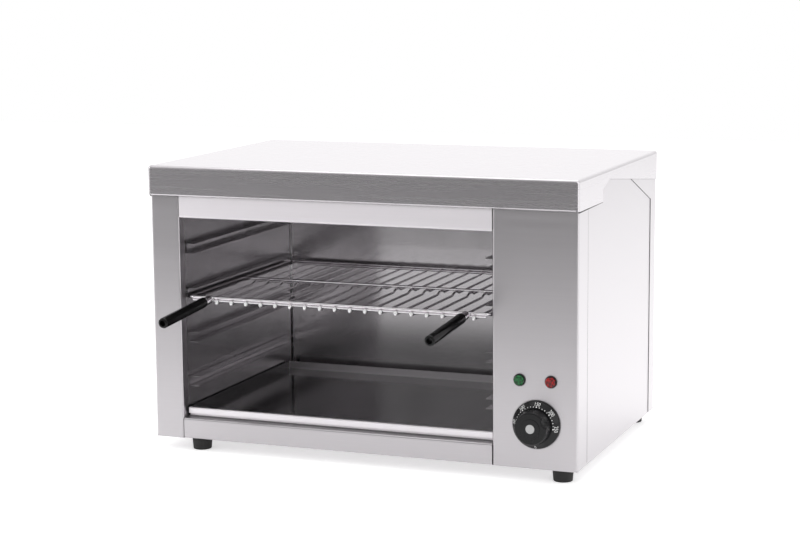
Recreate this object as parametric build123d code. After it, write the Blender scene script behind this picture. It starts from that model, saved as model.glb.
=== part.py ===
from build123d import *
import math
import os

# Counter-top cheese melter: a folded sheet-steel box with an open cooking cavity, four pairs of
# rack channels, a chromed wire rack with two long handles, a drip tray, two hairpin heating
# elements under the ceiling and a control compartment on the right.
# Millimetres. X to the right, Y from the front to the back, Z up. While the pieces are built,
# x = 0 is the middle of the body, y = 0 its front plane and z = 0 the surface it stands on.
# save() moves them all along Y, so that the stored origin is the middle of the whole footprint.

# ---------------------------------------------------------------- driving dimensions
# body
body_width = 600.0
body_depth = 389.0
body_height = 373.5          # underside of the base pan to the top of the cover
sheet = 1.0                  # all folded housing sheet
bend_radius = 3.0            # outer radius of the folds that show
seam_gap = 0.3               # open seam between neighbouring sheets
face_gap = 0.05              # between sheets that lie on each other
flange_depth = 14.0          # returns of the front sheets into the housing

# feet
foot_height = 17.0
foot_top_radius = 14.0
foot_bottom_radius = 12.5
foot_recess_radius = 6.0
foot_recess_depth = 8.0
left_foot_inset = 59.5       # from the left side of the body
right_foot_inset = 25.0      # from the right side of the body
foot_inset_y = 20.0          # from the front and from the back

# top cover
cover_overhang_front = 5.0
cover_overhang_side = 1.5
skirt_height = 40.0
cover_radius = 4.0
cover_hem = 4.0              # the skirt's front edge is rolled under by this much
cover_hem_radius = 2.0
notch_start = 105.0          # where the full-height side return ends
notch_rise = 16.5
notch_ramp_length = 33.0
notch_ramp_rise = 10.0
notch_end_inset = 5.0        # from the rear of the cover

# front sheets
pillar_width = 42.0
control_width = 114.0
control_return = 42.0        # right-hand strip of the control panel, round the corner
upper_band_height = 30.0
lower_band_height = 29.5
band_clearance = 0.3
panel_tuck = 11.5            # the panels end this far below the top of the cover

# side and back sheets
back_flange = 32.0
gusset_reach = 139.0         # from the rear face to the tip of the gusset
gusset_top_drop = 26.0       # below the top of the cover
gusset_height = 39.5
lap_width = 12.0
vent_slot_width = 3.5
vent_slot_length = 60.0
vent_slot_count = 7
vent_slot_pitch = 9.0
vent_height = 250.0          # lowest slot, above the base pan

# cavity liner
cavity_rear_gap = 28.0       # back liner wall to the rear of the body
ceiling_drop = 26.0          # below the top of the cover
liner_front_gap = 0.3

# rack channels
rail_height = 14.0
rail_depth = 15.0
rail_bend = 2.0
rail_front = 18.5
rail_back_gap = 9.0
rail_count = 4
first_rail_rise = 39.5       # above the lower edge of the opening
top_rail_drop = 50.6         # lower flange of the top pair, below the upper edge of the opening
rack_level = 2               # channel pair that holds the rack, counted from 0

# wire rack
frame_wire = 3.6
bar_wire = 3.2
rack_side_play = 3.45
rack_lift = 0.3              # rack wires above the channel's lower flange
rail_tip_play = 3.5          # between the channels and what hangs below the rack
rack_front = 12.0
rack_rear_gap = 13.0         # rear wire to the back liner wall
middle_wire_back = 169.0
frame_corner = 7.0
bar_spaces = 20
bar_front_overhang = 3.0
bar_rear_overhang = 2.2
kink_half_flat = 5.0
kink_ramp = 9.0
kink_radius = 5.0
weld_gap = 0.03

# rack handles
handle_bar = 8               # a handle hangs midway between this bar from the middle and the next
handle_radius = 7.0
handle_length = 118.0
handle_tip_fillet = 2.5
handle_droop = 4.0           # degrees
handle_rod_radius = 2.5
handle_bore_gap = 0.05
handle_recess_radius = 4.0
handle_recess_depth = 7.0
handle_rod_setback = 5.0     # rod end behind the floor of the recess
ferrule_radius = 5.5
ferrule_length = 16.5
ferrule_gap = 1.5
handle_end_gap = 0.2

# drip tray
tray_sheet = 0.8
tray_side_gap = 3.0
tray_lift = 0.3
tray_front = 10.0
tray_rear_gap = 19.0         # rear of the tray to the back liner wall
tray_height = 11.5
tray_lip_depth = 4.0
tray_lip_height = 8.0

# heating elements
element_radius = 4.0
element_drop = 49.5          # axis below the top of the cover
element_leg_pitch = 60.0
element_first_leg = 70.0     # behind the front plane
element_pair_pitch = 150.0
element_left_gap = 22.0      # bend to the left liner wall
element_through = 12.0       # past the right liner wall
element_pin_radius = 2.0
element_pin_length = 14.0
bushing_radius = 9.0
bushing_neck_radius = 6.5
bushing_flange = 3.0
hanger_sheet = 1.5
hanger_from_left = 60.0
hanger_edge = 12.0
hanger_flange = 12.0

# control panel fittings
knob_from_right = 54.5       # from the right side of the body
knob_height = 58.5           # above the base pan
dial_radius = 31.25
dial_rim_thickness = 2.0
dial_gap = 1.2
dial_rim_fillet = 1.0
skirt_rise = 7.0             # the dial is a cone from its rim up to the grip
skirt_radius = 24.0
grip_radius = 22.5
grip_tip_radius = 21.0
grip_length = 17.0
grip_fillet = 2.0
scoop_radius = 8.5
scoop_offset = 24.0
scoop_angle = 24.0           # degrees, above the +X side
cap_radius = 12.5
cap_thickness = 1.6
cap_recess = 0.8
badge_radius = 5.8
badge_thickness = 0.5
badge_recess = 0.3
shaft_radius = 3.0
shaft_fit = 0.04
shaft_in_knob = 16.0
shaft_in_thermostat = 12.0
panel_hole_radius = 5.0
thermostat_width = 44.0
thermostat_height = 36.0
thermostat_depth = 34.0
thermostat_screw_pitch = 28.0
thermostat_screw_radius = 2.0
thermostat_screw_head = 3.5
thermostat_head_height = 1.0
tab_width = 6.3
tab_length = 8.0
tab_thickness = 0.8
lamp_height = 115.0          # above the base pan
green_lamp_from_right = 77.2 # from the right side of the body
red_lamp_from_right = 35.5
lens_radius = 6.6
lens_length = 6.5
lens_dome = 2.5
bezel_radius = 8.0
bezel_thickness = 2.2
bezel_lip = 1.1
lamp_hole_radius = 6.0
lamp_body_radius = 5.8
lamp_body_length = 26.0
lamp_nut_radius = 8.5
lamp_nut_thickness = 3.0

# thermostat bulb and capillary
bulb_radius = 3.0
bulb_length = 80.0
bulb_wall_gap = 3.0
bulb_drop = 70.5             # below the top of the cover
capillary_radius = 1.0
capillary_bend = 12.0
capillary_start_run = 24.0
capillary_to_bulb = 60.0
capillary_hole_radius = 4.0
clip_width = 8.0
clip_sheet = 0.8
clip_foot = 7.0
clip_inset = 14.0

# supply inlet
gland_from_right = 50.0      # from the right side of the body
gland_height = 62.0          # above the base pan
gland_bore_radius = 4.5
gland_thread_radius = 8.0
gland_thread_length = 9.0
gland_hex_flats = 20.0
gland_hex_length = 5.0
gland_dome_radius = 9.0
gland_dome_length = 11.0
gland_nut_flats = 22.0
gland_nut_length = 4.5
gland_fit = 0.05
terminal_block_width = 52.0
terminal_block_depth = 20.0
terminal_block_height = 18.0
terminal_block_back_gap = 46.0
terminal_count = 4
terminal_hole_radius = 2.2
terminal_hole_depth = 7.0
terminal_screw_radius = 1.9
terminal_screw_length = 5.0

# fasteners
foot_screw_radius = 2.5
foot_screw_head = 5.0
foot_screw_head_height = 2.5
foot_screw_length = 10.0
panel_screw_radius = 1.75
panel_screw_head = 3.6
panel_screw_head_height = 2.2
panel_screw_length = 9.0
screw_fit = 0.1
cover_screw_drop = 24.0      # below the top of the cover
cover_screw_inset = 60.0
back_screw_rise = 12.0       # above the base pan
back_screw_inset = 80.0

# ---------------------------------------------------------------- derived places
half = body_width / 2
base_z = foot_height
top_z = base_z + body_height
panel_z = base_z + sheet
panel_top = top_z - panel_tuck
skirt_bottom = top_z - skirt_height
cavity_left = -half + pillar_width
cavity_right = half - control_width
cavity_middle = (cavity_left + cavity_right) / 2
cavity_width = cavity_right - cavity_left
opening_bottom = base_z + lower_band_height
opening_top = skirt_bottom - upper_band_height
cavity_depth = body_depth - cavity_rear_gap   # front plane to the back liner wall
floor_z = opening_bottom                      # top of the cavity floor
ceiling_z = top_z - ceiling_drop              # underside of the cavity ceiling
right_seam = control_return
rear_seam = body_depth - back_flange

first_rail_z = opening_bottom + first_rail_rise
rail_pitch = (opening_top - top_rail_drop - first_rail_z) / (rail_count - 1)
rack_rail_z = first_rail_z + rack_level * rail_pitch
wire_z = rack_rail_z + sheet + rack_lift + frame_wire / 2
rack_half_width = cavity_width / 2 - sheet - rack_side_play - frame_wire / 2
bar_pitch = 2 * rack_half_width / bar_spaces
lower_wire_z = wire_z - (frame_wire + bar_wire) / 2 - weld_gap
bar_low_z = lower_wire_z - bar_wire - weld_gap
bar_high_z = wire_z - (frame_wire + bar_wire) / 2 - weld_gap
rack_rear = cavity_depth - rack_rear_gap
middle_wire_y = rack_front + middle_wire_back

droop = math.radians(handle_droop)
handle_root_y = rack_front - frame_wire / 2 - handle_end_gap
handle_root_z = (wire_z + lower_wire_z) / 2
grip_start = ferrule_gap + ferrule_length + handle_end_gap
handle_reach = grip_start + handle_length
handle_tip_y = (
    handle_root_y
    - (handle_reach - handle_tip_fillet) * math.cos(droop)
    - (handle_radius - handle_tip_fillet) * math.sin(droop)
    - handle_tip_fillet
)
gland_end_y = body_depth + gland_hex_length + gland_dome_length
origin_shift = -(handle_tip_y + gland_end_y) / 2

tray_rear = cavity_depth - tray_rear_gap
tray_left = cavity_left + tray_side_gap
tray_right = cavity_right - tray_side_gap
tray_z = floor_z + tray_lift
tray_wall_front = tray_front + tray_lip_depth

element_z = top_z - element_drop
bulb_z = top_z - bulb_drop
bulb_x = cavity_right - bulb_wall_gap - bulb_radius
knob_x = half - knob_from_right
knob_z = base_z + knob_height
green_lamp_x = half - green_lamp_from_right
red_lamp_x = half - red_lamp_from_right
lamp_z = base_z + lamp_height
gland_x = half - gland_from_right
gland_z = base_z + gland_height
foot_places = [
    ("front_left", -half + left_foot_inset, foot_inset_y),
    ("front_right", half - right_foot_inset, foot_inset_y),
    ("rear_left", -half + left_foot_inset, body_depth - foot_inset_y),
    ("rear_right", half - right_foot_inset, body_depth - foot_inset_y),
]


# ---------------------------------------------------------------- helpers
def slab(x0, x1, y0, y1, z0, z1):
    """A box between six faces."""
    middle = Pos((x0 + x1) / 2, (y0 + y1) / 2, (z0 + z1) / 2)
    return middle * Box(x1 - x0, y1 - y0, z1 - z0)


def rod_x(radius, x0, x1, y, z):
    return Pos((x0 + x1) / 2, y, z) * Rot(0, 90, 0) * Cylinder(radius, x1 - x0)


def rod_y(radius, y0, y1, x, z):
    return Pos(x, (y0 + y1) / 2, z) * Rot(90, 0, 0) * Cylinder(radius, y1 - y0)


def rod_z(radius, z0, z1, x, y):
    return Pos(x, y, (z0 + z1) / 2) * Cylinder(radius, z1 - z0)


def hex_y(flats, y0, y1, x, z):
    """A hexagonal prism along Y, measured across its flats."""
    profile = Plane.XZ * RegularPolygon(flats / 2, 6, major_radius=False)
    return Pos(x, y1, z) * extrude(profile, y1 - y0)


def folded_section(points, radius, side, thickness=sheet):
    """The cross-section of a folded sheet whose outer faces run through the points."""
    path = FilletPolyline(*points, radius=radius) if len(points) > 2 else Line(*points)
    return make_face(path.offset_2d(thickness, side=side))


def folded_up(points, z0, z1, side, radius=bend_radius):
    """A sheet folded round vertical bends, from points (x, y)."""
    return Pos(0, 0, z0) * extrude(Plane.XY * folded_section(points, radius, side), z1 - z0)


def folded_across(points, x0, x1, side, radius=bend_radius):
    """A sheet folded round bends along X, from points (y, z)."""
    return Pos(x0, 0, 0) * extrude(Plane.YZ * folded_section(points, radius, side), x1 - x0)


def plate_across(points, x0, x1):
    """A flat plate with the outline of points (y, z), from x0 to x1."""
    return Pos(x0, 0, 0) * extrude(Plane.YZ * make_face(Polyline(*points, close=True)), x1 - x0)


def wire_along(points, wire_radius, bend):
    """A round wire or tube along straight runs joined by arcs."""
    path = FilletPolyline(*points, radius=bend)
    return sweep((path ^ 0) * Circle(wire_radius), path=path)


def pan_head_screw_y(x, y, z, toward):
    """A panel screw whose head sits on the plane y and points along -Y (-1) or +Y (1)."""
    shank_end = y - toward * panel_screw_length
    head_end = y + toward * panel_screw_head_height
    shank = rod_y(panel_screw_radius, min(y, shank_end), max(y, shank_end), x, z)
    head = rod_y(panel_screw_head, min(y, head_end), max(y, head_end), x, z)
    rim = head.edges().filter_by(GeomType.CIRCLE).sort_by(Axis.Y)[0 if toward < 0 else -1]
    return shank + fillet(rim, panel_screw_head_height / 2)


def save(node, *solids):
    """Write one node, its solids moved to the stored origin."""
    moved = [Pos(0, origin_shift, 0) * solid for solid in solids]
    shape = moved[0] if len(moved) == 1 else Compound(children=moved)
    export_step(shape, f"parts/{node}.step")


# ---------------------------------------------------------------- housing
def base_pan():
    """Floor of the housing with the lower front band folded up from it."""
    floor = slab(-half, half, 0, body_depth, base_z, panel_z)
    band_left = cavity_left + band_clearance
    band_right = cavity_right - band_clearance
    front = [
        (flange_depth, base_z),
        (0, base_z),
        (0, opening_bottom - sheet),
        (flange_depth, opening_bottom - sheet),
    ]
    corner = slab(band_left, band_right, 0, bend_radius, base_z, panel_z)
    pan = floor - corner + folded_across(front, band_left, band_right, Side.RIGHT)
    for _, x, y in foot_places:
        pan -= rod_z(foot_screw_radius + screw_fit, base_z, panel_z, x, y)
    return pan


def left_side_panel():
    """Left skin, front pillar and the pillar's return in one folded sheet."""
    outline = [
        (cavity_left, flange_depth),
        (cavity_left, 0),
        (-half, 0),
        (-half, rear_seam - seam_gap),
    ]
    skin = folded_up(outline, panel_z, panel_top, Side.RIGHT)
    return skin - gusset(-half, -half + sheet, seam_gap) + rear_lap(-half + sheet, 1)


def right_side_panel():
    """Flat right skin between the control panel's strip and the back panel's flange."""
    skin = slab(half - sheet, half, right_seam + seam_gap, rear_seam - seam_gap, panel_z, panel_top)
    skin -= gusset(half - sheet, half, seam_gap)
    lap_front = right_seam + seam_gap - lap_width
    lap_back = right_seam + seam_gap + lap_width
    front_lap = slab(half - 2 * sheet, half - sheet, lap_front, lap_back, panel_z, panel_top)
    return skin + front_lap + rear_lap(half - sheet, -1)


def gusset(x0, x1, margin):
    """The back flange's wedge over the chamfered rear top corner of a side panel."""
    tip_y = body_depth - gusset_reach
    tip_z = top_z - gusset_top_drop
    points = [
        (rear_seam - margin, tip_z - gusset_height - margin),
        (tip_y - margin, tip_z - margin),
        (tip_y - margin, panel_top),
        (rear_seam, panel_top),
        (rear_seam, tip_z - gusset_height - margin),
    ]
    return plate_across(points, x0, x1)


def rear_lap(face_x, inward):
    """Joggled lap of a side panel under the back panel's flange."""
    lap_top = top_z - gusset_top_drop - gusset_height - lap_width
    x0, x1 = sorted((face_x, face_x + inward * sheet))
    return slab(x0, x1, rear_seam - lap_width, rear_seam + lap_width, panel_z, lap_top)


def control_panel():
    """Front of the control compartment, with its strip round the right-hand corner."""
    outline = [(cavity_right, flange_depth), (cavity_right, 0), (half, 0), (half, right_seam)]
    panel = folded_up(outline, panel_z, panel_top, Side.LEFT)
    panel -= rod_y(panel_hole_radius, 0, sheet, knob_x, knob_z)
    for offset in (-thermostat_screw_pitch / 2, thermostat_screw_pitch / 2):
        hole = thermostat_screw_radius + screw_fit
        panel -= rod_y(hole, 0, sheet, knob_x + offset, knob_z)
    for x in (green_lamp_x, red_lamp_x):
        panel -= rod_y(lamp_hole_radius, 0, sheet, x, lamp_z)
    return panel


def upper_front_band():
    """Band between the pillars, under the cover's skirt."""
    profile = [(flange_depth, opening_top), (0, opening_top), (0, panel_top)]
    left = cavity_left + band_clearance
    right = cavity_right - band_clearance
    return folded_across(profile, left, right, Side.RIGHT)


def back_panel():
    """Back sheet with two side flanges that widen into gussets at the top."""
    outline = [(-half, rear_seam), (-half, body_depth), (half, body_depth), (half, rear_seam)]
    panel = folded_up(outline, panel_z, panel_top, Side.RIGHT)
    panel += gusset(-half, -half + sheet, 0)
    panel += gusset(half - sheet, half, 0)
    for x, z in cover_screw_places() + back_screw_places():
        panel -= rod_y(panel_screw_radius + screw_fit, body_depth - sheet, body_depth, x, z)
    for index in range(vent_slot_count):
        z = base_z + vent_height + index * vent_slot_pitch
        slot = Plane.XZ * SlotOverall(vent_slot_length, vent_slot_width)
        panel -= Pos(vent_middle(), body_depth, z) * extrude(slot, sheet)
    hole = gland_thread_radius + gland_fit
    return panel - rod_y(hole, body_depth - sheet, body_depth, gland_x, gland_z)


def vent_middle():
    return (cavity_right + half) / 2


def cover_screw_places():
    z = top_z - cover_screw_drop
    return [(x, z) for x in (-half + cover_screw_inset, 0, half - cover_screw_inset)]


def back_screw_places():
    z = base_z + back_screw_rise
    return [(x, z) for x in (-half + back_screw_inset, 0, half - back_screw_inset)]


def top_cover():
    """Inverted pan over the housing; its side returns are cut back behind the front."""
    wide = half + cover_overhang_side
    back = body_depth + cover_overhang_side
    outer = slab(-wide, wide, -cover_overhang_front, back, skirt_bottom, top_z)
    inner = slab(
        -wide + sheet,
        wide - sheet,
        sheet - cover_overhang_front,
        back - sheet,
        skirt_bottom,
        top_z - sheet,
    )
    outer = fillet(upper_edges(outer, skirt_bottom), cover_radius)
    inner = fillet(upper_edges(inner, skirt_bottom), cover_radius - sheet)
    cover = outer - inner
    hem_back = -cover_overhang_front + cover_hem
    hem_top = skirt_bottom + cover_hem
    hem_side = wide - cover_radius
    hem = [
        (-cover_overhang_front, hem_top),
        (-cover_overhang_front, skirt_bottom),
        (hem_back, skirt_bottom),
    ]
    cover -= slab(-hem_side, hem_side, -cover_overhang_front, hem_back, skirt_bottom, hem_top)
    cover += folded_across(hem, -hem_side, hem_side, Side.LEFT, cover_hem_radius)
    notch_top = skirt_bottom + notch_rise
    ramp_end = notch_start + notch_ramp_length
    notch = [
        (notch_start, skirt_bottom),
        (notch_start, notch_top),
        (ramp_end, notch_top + notch_ramp_rise),
        (back - notch_end_inset, skirt_bottom),
    ]
    cover -= plate_across(notch, -wide, -wide + sheet)
    cover -= plate_across(notch, wide - sheet, wide)
    for x, z in cover_screw_places():
        cover -= rod_y(panel_screw_radius + screw_fit, back - sheet, back, x, z)
    return cover


def upper_edges(box, bottom):
    """All edges of a box but the four round its open underside."""
    return [edge for edge in box.edges() if edge.center().Z > bottom + sheet]


def foot(x, y):
    """Tapered rubber foot with a recess for its screw's head."""
    body = Cone(foot_bottom_radius, foot_top_radius, foot_height)
    recess = rod_z(foot_recess_radius, 0, foot_recess_depth, x, y)
    hole = rod_z(foot_screw_radius + screw_fit, foot_recess_depth, foot_height, x, y)
    body = Pos(x, y, foot_height / 2) * body
    rim = body.edges().filter_by(GeomType.CIRCLE).sort_by(Axis.Z)[0]
    return fillet(rim, sheet) - recess - hole


def foot_screw(x, y):
    head_bottom = foot_recess_depth - foot_screw_head_height
    shank_top = foot_recess_depth + foot_screw_length + sheet
    head = rod_z(foot_screw_head, head_bottom, foot_recess_depth, x, y)
    return head + rod_z(foot_screw_radius, foot_recess_depth, shank_top, x, y)


def foot_nut(x, y):
    """Hexagon nut on the pan, inside the housing."""
    nut = extrude(RegularPolygon(foot_screw_head, 6), foot_screw_head_height)
    nut = Pos(x, y, panel_z) * nut
    nut_top = panel_z + foot_screw_head_height
    return nut - rod_z(foot_screw_radius + face_gap, panel_z, nut_top, x, y)


# ---------------------------------------------------------------- cavity
def cavity_floor():
    """Floor sheet, spot-welded behind the lower band's return."""
    bottom = floor_z - sheet
    front = flange_depth + seam_gap
    return slab(cavity_left - sheet, cavity_right + sheet, front, cavity_depth, bottom, floor_z)


def liner_wall(inner_x, outward):
    """One side wall of the cavity, between floor and ceiling."""
    x0, x1 = sorted((inner_x, inner_x + outward * sheet))
    front = flange_depth + liner_front_gap
    return slab(x0, x1, front, cavity_depth, floor_z, ceiling_z + sheet)


def cavity_left_wall():
    return liner_wall(cavity_left, -1)


def cavity_right_wall():
    """Right liner wall, with the holes for the elements and the capillary."""
    wall = liner_wall(cavity_right, 1)
    for y in element_leg_places():
        hole = bushing_neck_radius + face_gap
        wall -= rod_x(hole, cavity_right, cavity_right + sheet, y, element_z)
    hole_y = capillary_turn_y()
    wall -= rod_x(capillary_hole_radius, cavity_right, cavity_right + sheet, hole_y, bulb_z)
    return wall


def cavity_back_wall():
    wall_front = cavity_depth
    wall_back = cavity_depth + sheet
    x0 = cavity_left - sheet
    x1 = cavity_right + sheet
    return slab(x0, x1, wall_front, wall_back, floor_z - sheet, ceiling_z + sheet)


def cavity_ceiling():
    """Reflector sheet above the elements."""
    front = sheet + seam_gap
    return slab(cavity_left, cavity_right, front, cavity_depth, ceiling_z, ceiling_z + sheet)


def rail(level, wall_x, inward):
    """A C-channel on a liner wall, open towards the cavity."""
    bottom = first_rail_z + level * rail_pitch
    top = bottom + rail_height
    tip = wall_x + inward * rail_depth
    points = [(tip, bottom), (wall_x, bottom), (wall_x, top), (tip, top)]
    side = Side.RIGHT if inward > 0 else Side.LEFT
    section = Plane.XZ * folded_section(points, rail_bend, side)
    length = cavity_depth - rail_back_gap - rail_front
    return Pos(0, cavity_depth - rail_back_gap, 0) * extrude(section, length)


# ---------------------------------------------------------------- wire rack
def rack_frame():
    """Closed rectangle of wire that slides in a channel pair."""
    left = cavity_middle - rack_half_width
    right = cavity_middle + rack_half_width
    corners = [(right, rack_front), (right, rack_rear), (left, rack_rear), (left, rack_front)]
    path = FilletPolyline(*[(x, y, wire_z) for x, y in corners], radius=frame_corner, close=True)
    return sweep((path ^ 0) * Circle(frame_wire / 2), path=path)


def rack_middle_wire():
    """Cross wire between the frame's sides, above the bars."""
    reach = rack_half_width - frame_wire / 2 - weld_gap
    x0 = cavity_middle - reach
    return rod_x(frame_wire / 2, x0, cavity_middle + reach, middle_wire_y, wire_z)


def rack_lower_wire(y, reach):
    """Cross wire under the frame's front or rear wire, with rounded ends."""
    wire = rod_x(bar_wire / 2, cavity_middle - reach, cavity_middle + reach, y, lower_wire_z)
    for x in (cavity_middle - reach, cavity_middle + reach):
        wire += Pos(x, y, lower_wire_z) * Sphere(bar_wire / 2)
    return wire


def rack_bars():
    """Bars from front to rear, kinked up to the middle wire."""
    front = rack_front - bar_wire / 2 - bar_front_overhang
    rear = rack_rear + bar_wire / 2 + bar_rear_overhang
    flat = kink_half_flat
    foot_of_ramp = kink_half_flat + kink_ramp
    points = [
        (0, front, bar_low_z),
        (0, middle_wire_y - foot_of_ramp, bar_low_z),
        (0, middle_wire_y - flat, bar_high_z),
        (0, middle_wire_y + flat, bar_high_z),
        (0, middle_wire_y + foot_of_ramp, bar_low_z),
        (0, rear, bar_low_z),
    ]
    bar = wire_along(points, bar_wire / 2, kink_radius)
    first = -bar_spaces // 2 + 1
    return [Pos(cavity_middle + n * bar_pitch, 0, 0) * bar for n in range(first, -first + 1)]


def on_handle_axis(piece, side):
    """Carry a piece built along -Y from the origin to one handle's drooping axis."""
    x = cavity_middle + side * (handle_bar + 1 / 2) * bar_pitch
    return Pos(x, handle_root_y, handle_root_z) * Rot(handle_droop, 0, 0) * piece


def rack_handle(side):
    """Moulded grip with a bore for the rod and a recess in its front end."""
    front = -handle_reach
    grip = rod_y(handle_radius, front, -grip_start, 0, 0)
    ends = grip.edges().filter_by(GeomType.CIRCLE).sort_by(Axis.Y)
    grip = fillet([ends[0], ends[-1]], handle_tip_fillet)
    grip -= rod_y(handle_rod_radius + handle_bore_gap, front, -grip_start, 0, 0)
    grip -= rod_y(handle_recess_radius, front, front + handle_recess_depth, 0, 0)
    return on_handle_axis(grip, side)


def rack_handle_rod(side):
    """Rod through the grip, welded to the two front wires."""
    front = -handle_reach + handle_recess_depth + handle_rod_setback
    return on_handle_axis(rod_y(handle_rod_radius, front, 0, 0, 0), side)


def rack_handle_ferrule(side):
    """Collar on the rod, behind the grip."""
    ferrule = rod_y(ferrule_radius, -ferrule_gap - ferrule_length, -ferrule_gap, 0, 0)
    ends = ferrule.edges().filter_by(GeomType.CIRCLE).sort_by(Axis.Y)
    ferrule = chamfer([ends[0], ends[-1]], sheet)
    bore = rod_y(handle_rod_radius + handle_bore_gap, -grip_start, 0, 0, 0)
    return on_handle_axis(ferrule - bore, side)


# ---------------------------------------------------------------- drip tray
def drip_tray():
    """Shallow pan with a turned-over front lip."""
    top = tray_z + tray_height
    pan = slab(tray_left, tray_right, tray_wall_front, tray_rear, tray_z, top)
    pan -= slab(
        tray_left + tray_sheet,
        tray_right - tray_sheet,
        tray_wall_front + tray_sheet,
        tray_rear - tray_sheet,
        tray_z + tray_sheet,
        top,
    )
    lip = [
        (tray_wall_front + tray_sheet, top),
        (tray_front, top),
        (tray_front, top - tray_lip_height),
    ]
    section = folded_section(lip, tray_sheet * 2, Side.LEFT, tray_sheet)
    return pan + Pos(tray_left, 0, 0) * extrude(Plane.YZ * section, tray_right - tray_left)


# ---------------------------------------------------------------- heating elements
def element_leg_places():
    """Y of all four element legs."""
    first_legs = (element_first_leg, element_first_leg + element_pair_pitch)
    return [y + leg for y in first_legs for leg in (0, element_leg_pitch)]


def heating_element(first_leg):
    """Hairpin tube along X, its bend at the left."""
    second_leg = first_leg + element_leg_pitch
    right = cavity_right + sheet + element_through
    left = cavity_left + element_left_gap + element_radius
    bend = element_leg_pitch / 2
    points = [(right, first_leg), (left, first_leg), (left, second_leg), (right, second_leg)]
    path = FilletPolyline(*[(x, y, element_z) for x, y in points], radius=bend * 0.999)
    return sweep((path ^ 0) * Circle(element_radius), path=path)


def element_pins():
    """Terminal pins at the cold ends of the elements."""
    start = cavity_right + sheet + element_through
    end = start + element_pin_length
    return [rod_x(element_pin_radius, start, end, y, element_z) for y in element_leg_places()]


def element_bushings():
    """Flanged bushings that carry the cold ends in the right liner wall."""
    bushings = []
    for y in element_leg_places():
        outer = cavity_right + sheet
        neck = rod_x(bushing_neck_radius, cavity_right, outer, y, element_z)
        flange = rod_x(bushing_radius, outer, outer + bushing_flange, y, element_z)
        end = outer + bushing_flange
        bore = rod_x(element_radius + face_gap, cavity_right, end, y, element_z)
        bushings.append(neck + flange - bore)
    return bushings


def element_hanger():
    """Strip under the ceiling that carries the elements near their bends."""
    x0 = cavity_left + hanger_from_left
    x1 = x0 + hanger_sheet
    legs = element_leg_places()
    front = legs[0] - hanger_edge
    back = legs[-1] + hanger_edge
    bottom = element_z - hanger_edge
    strip = slab(x0, x1, front, back, bottom, ceiling_z)
    strip += slab(x1, x1 + hanger_flange, front, back, ceiling_z - hanger_sheet, ceiling_z)
    for y in legs:
        strip -= rod_x(element_radius + face_gap, x0, x1, y, element_z)
    return strip


# ---------------------------------------------------------------- thermostat and knob
def thermostat_body():
    """Capillary thermostat behind the control panel, with blade terminals at its back."""
    front = sheet
    back = front + thermostat_depth
    x0 = knob_x - thermostat_width / 2
    z0 = knob_z - thermostat_height / 2
    body = slab(x0, x0 + thermostat_width, front, back, z0, z0 + thermostat_height)
    body = fillet(body.edges().filter_by(Axis.Y), cover_radius)
    body -= rod_y(shaft_radius + shaft_fit, front, front + shaft_in_thermostat, knob_x, knob_z)
    for offset in (-thermostat_screw_pitch / 2, thermostat_screw_pitch / 2):
        radius = thermostat_screw_radius + face_gap
        hole_end = front + panel_screw_length
        body -= rod_y(radius, front, hole_end, knob_x + offset, knob_z)
    for offset in (-thermostat_screw_pitch / 2, thermostat_screw_pitch / 2):
        x = knob_x + offset
        z = knob_z - thermostat_height / 4
        tab_x = x - tab_width / 2
        tab_z = z - tab_thickness / 2
        body += slab(tab_x, tab_x + tab_width, back, back + tab_length, tab_z, tab_z + tab_thickness)
    return body


def thermostat_screws():
    """Two screws through the control panel, hidden by the dial."""
    screws = []
    for offset in (-thermostat_screw_pitch / 2, thermostat_screw_pitch / 2):
        x = knob_x + offset
        shank = rod_y(thermostat_screw_radius, 0, panel_screw_length, x, knob_z)
        head = rod_y(thermostat_screw_head, -thermostat_head_height, 0, x, knob_z)
        screws.append(shank + head)
    return screws


def skirt_front():
    """Y of the step between the dial's cone and the grip."""
    return -dial_gap - dial_rim_thickness - skirt_rise


def knob_front():
    return skirt_front() - grip_length


def thermostat_shaft():
    """Shaft that turns with the knob."""
    tip = -dial_gap - shaft_in_knob
    return rod_y(shaft_radius, tip, sheet + shaft_in_thermostat - face_gap, knob_x, knob_z)


def knob():
    """Conical dial and grip in one moulding, with a thumb scoop and a socket for the shaft."""
    dial_back = -dial_gap
    rim_front = dial_back - dial_rim_thickness
    dial = rod_y(dial_radius, rim_front, dial_back, knob_x, knob_z)
    dial += cone_on_knob_axis(dial_radius, skirt_radius, rim_front, skirt_front())
    dial_rim = dial.edges().filter_by(GeomType.CIRCLE).sort_by(Axis.Y)[1]
    dial = fillet(dial_rim, dial_rim_fillet)
    grip = cone_on_knob_axis(grip_radius, grip_tip_radius, skirt_front(), knob_front())
    grip_rim = grip.edges().filter_by(GeomType.CIRCLE).sort_by(Axis.Y)[0]
    grip = fillet(grip_rim, grip_fillet)
    turn = math.radians(scoop_angle)
    scoop_x = knob_x + scoop_offset * math.cos(turn)
    scoop_z = knob_z + scoop_offset * math.sin(turn)
    body = dial + grip - Pos(scoop_x, knob_front(), scoop_z) * Sphere(scoop_radius)
    body -= rod_y(cap_radius + face_gap, knob_front(), knob_front() + cap_recess, knob_x, knob_z)
    socket_front = -dial_gap - shaft_in_knob
    return body - rod_y(shaft_radius, socket_front, dial_back, knob_x, knob_z)


def cone_on_knob_axis(rear_radius, front_radius, rear, front):
    cone = Rot(90, 0, 0) * Cone(rear_radius, front_radius, rear - front)
    return Pos(knob_x, (front + rear) / 2, knob_z) * cone


def cap_front():
    return knob_front() + cap_recess - cap_thickness


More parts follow.
